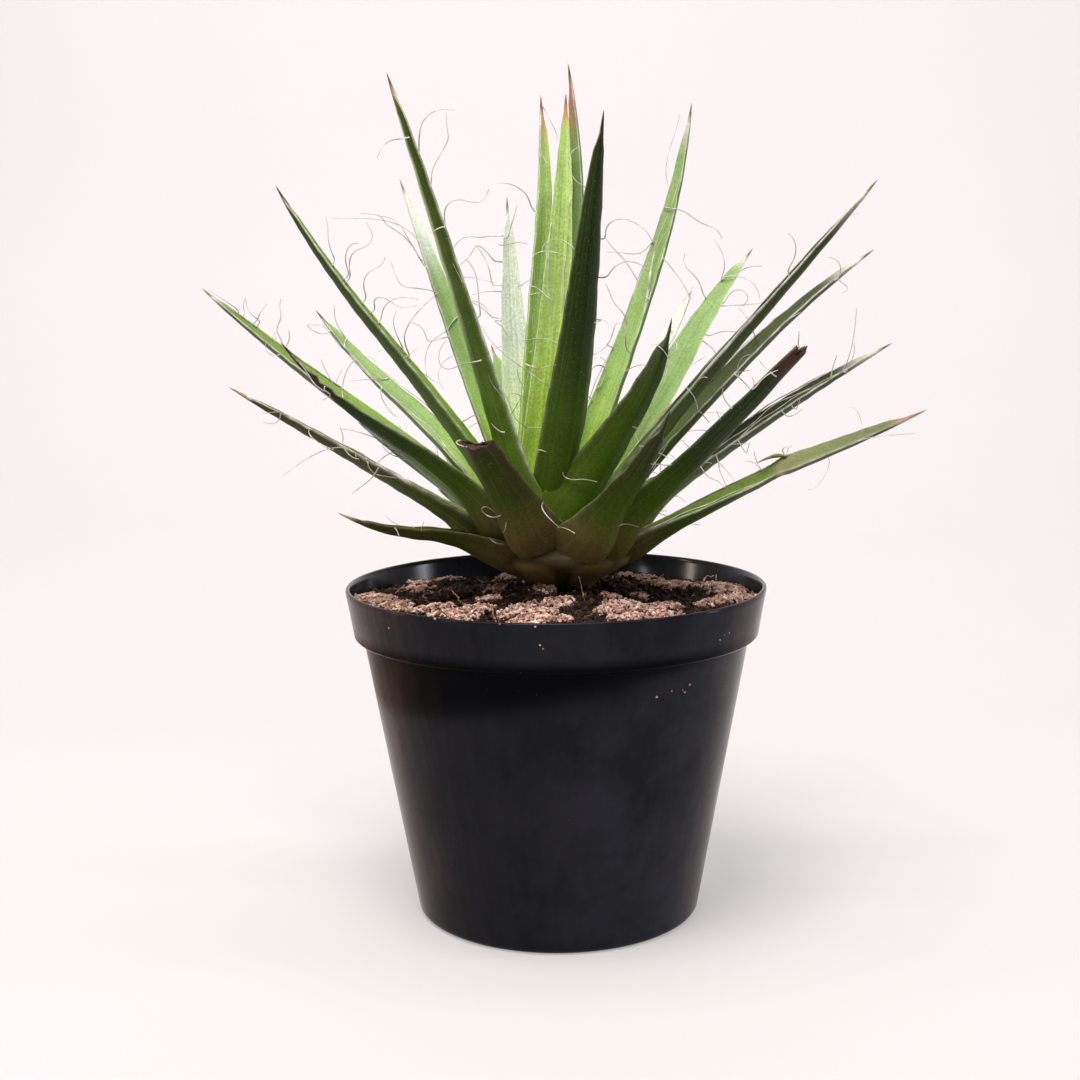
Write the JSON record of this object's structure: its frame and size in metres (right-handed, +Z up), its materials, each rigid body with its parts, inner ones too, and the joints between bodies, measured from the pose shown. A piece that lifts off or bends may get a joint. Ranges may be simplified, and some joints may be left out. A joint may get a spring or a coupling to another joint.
{
  "type": "potted thread agave",
  "caption": "Rosette of narrow channelled succulent leaves with a spine at each tip and curled threads on the margins, on a short stem in coarse soil in a tapered pot with a deep collar.",
  "frame": {"origin": "middle of the flat underside of the pot", "axes": "+Z up along the pot's axis, +X to the viewer's right and -Y towards the viewer in the picture"},
  "size_m": [0.298, 0.2277, 0.3409],
  "materials": {
    "pot": "satin injection-moulded plastic",
    "soil": "coarse crumbly potting mix of bark, fibre and grit",
    "stem": "smooth green-brown bark",
    "young_leaf": "waxy light green",
    "leaf": "waxy dark green"
  },
  "bodies": {
    "root": {"pot": "pot", "soil": "soil", "stem": "stem", "leaf_01": "leaf", "leaf_02": "leaf", "leaf_03": "leaf", "leaf_04": "leaf", "leaf_05": "leaf", "leaf_06": "leaf", "leaf_07": "young_leaf", "leaf_08": "leaf", "leaf_09": "leaf", "leaf_10": "young_leaf", "leaf_11": "young_leaf", "leaf_12": "young_leaf", "leaf_13": "young_leaf", "leaf_14": "young_leaf", "leaf_15": "leaf", "leaf_16": "leaf", "leaf_17": "leaf", "leaf_18": "leaf", "leaf_19": "leaf", "leaf_20": "leaf", "leaf_21": "leaf", "leaf_22": "leaf", "leaf_23": "leaf", "leaf_24": "leaf", "leaf_25": "leaf", "leaf_26": "leaf", "leaf_27": "leaf", "leaf_28": "leaf", "leaf_29": "leaf", "leaf_30": "leaf", "leaf_31": "leaf", "leaf_32": "leaf", "leaf_33": "leaf", "leaf_34": "leaf", "leaf_35": "leaf"}
  },
  "joints": []
}
